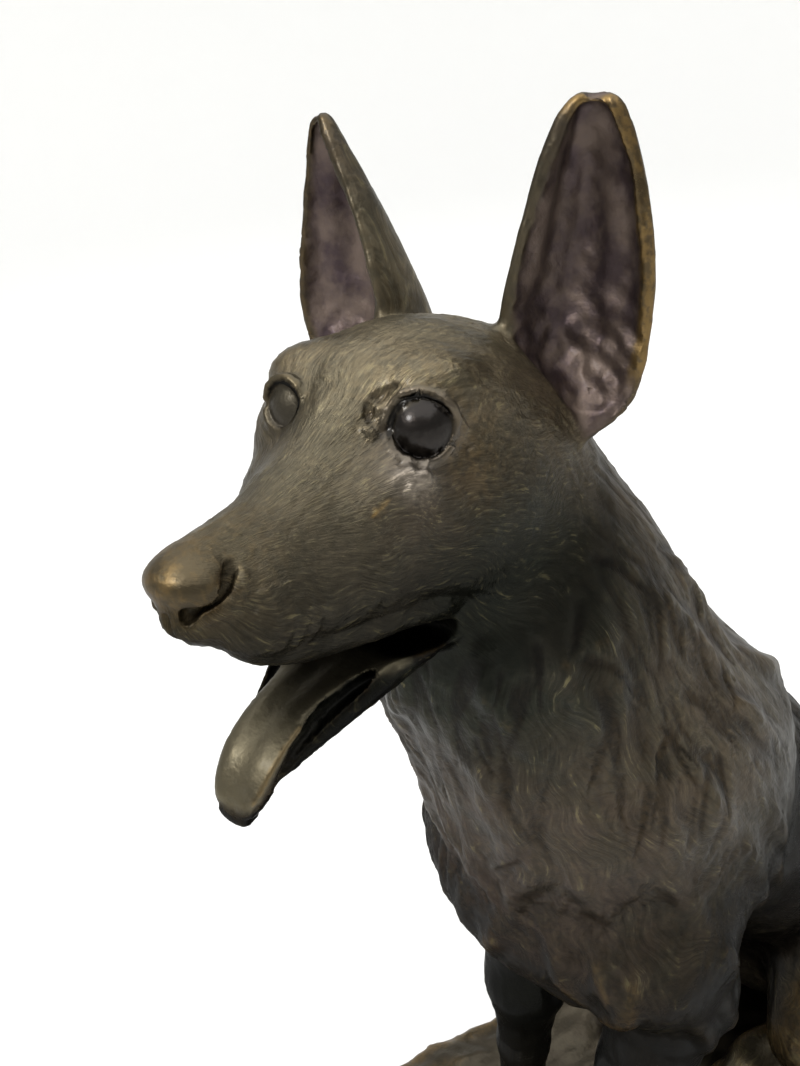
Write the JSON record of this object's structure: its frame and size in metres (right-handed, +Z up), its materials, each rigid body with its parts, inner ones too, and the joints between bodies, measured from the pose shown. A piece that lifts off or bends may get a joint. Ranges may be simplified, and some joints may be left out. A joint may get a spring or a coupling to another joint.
{
  "type": "bronze dog statue",
  "caption": "Seated shepherd dog in dark cast bronze, head turned and raised, ears pricked, mouth open with the tongue out, on a low cast ground with a flat underside.",
  "frame": {"origin": "middle of the ground's flat underside", "axes": "+Z up, the dog's chest faces -Y, its left side is +X"},
  "size_m": [0.1949, 0.3193, 0.4111],
  "materials": {
    "dark_bronze": "dark brown patina over bronze, rubbed olive gold on the raised parts, satin"
  },
  "bodies": {
    "root": {"seated_dog": "dark_bronze"}
  },
  "joints": []
}
